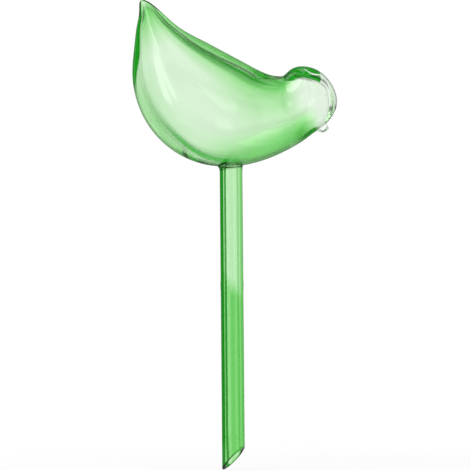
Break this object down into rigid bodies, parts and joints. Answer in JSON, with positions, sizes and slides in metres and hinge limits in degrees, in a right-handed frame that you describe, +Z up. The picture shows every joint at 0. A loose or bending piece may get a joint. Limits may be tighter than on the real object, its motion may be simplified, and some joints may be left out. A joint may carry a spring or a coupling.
{
  "type": "watering globe",
  "caption": "Green glass watering globe blown as a bird on a long hollow stem with a slanted mouth; it is filled with water, pushed into the soil of a pot and waters the plant slowly",
  "frame": {"origin": "on the stem's axis, level with the heel of the slanted mouth, where the tube becomes a whole round", "axes": "+Z up the stem, +X the way the bird looks, +Y towards its left flank"},
  "size_m": [0.1226, 0.057, 0.2829],
  "materials": {
    "body_glass": "smooth clear green blown glass, paler at the flank and deeper along the back and the belly",
    "head_glass": "smooth blown glass, nearly clear with a faint green",
    "clear_glass": "smooth clear glass",
    "root_glass": "smooth green glass melted into a small hollow-curved ring",
    "upper_stem_glass": "smooth pale green glass tube",
    "lower_stem_glass": "smooth deeper green glass tube, its cut mouth rounded by the flame"
  },
  "bodies": {
    "root": {"body_bubble": "body_glass", "head_bubble": "head_glass", "tail_point": "clear_glass", "beak_bead": "clear_glass", "stem_root": "root_glass", "upper_stem": "upper_stem_glass", "lower_stem": "lower_stem_glass"}
  },
  "joints": []
}
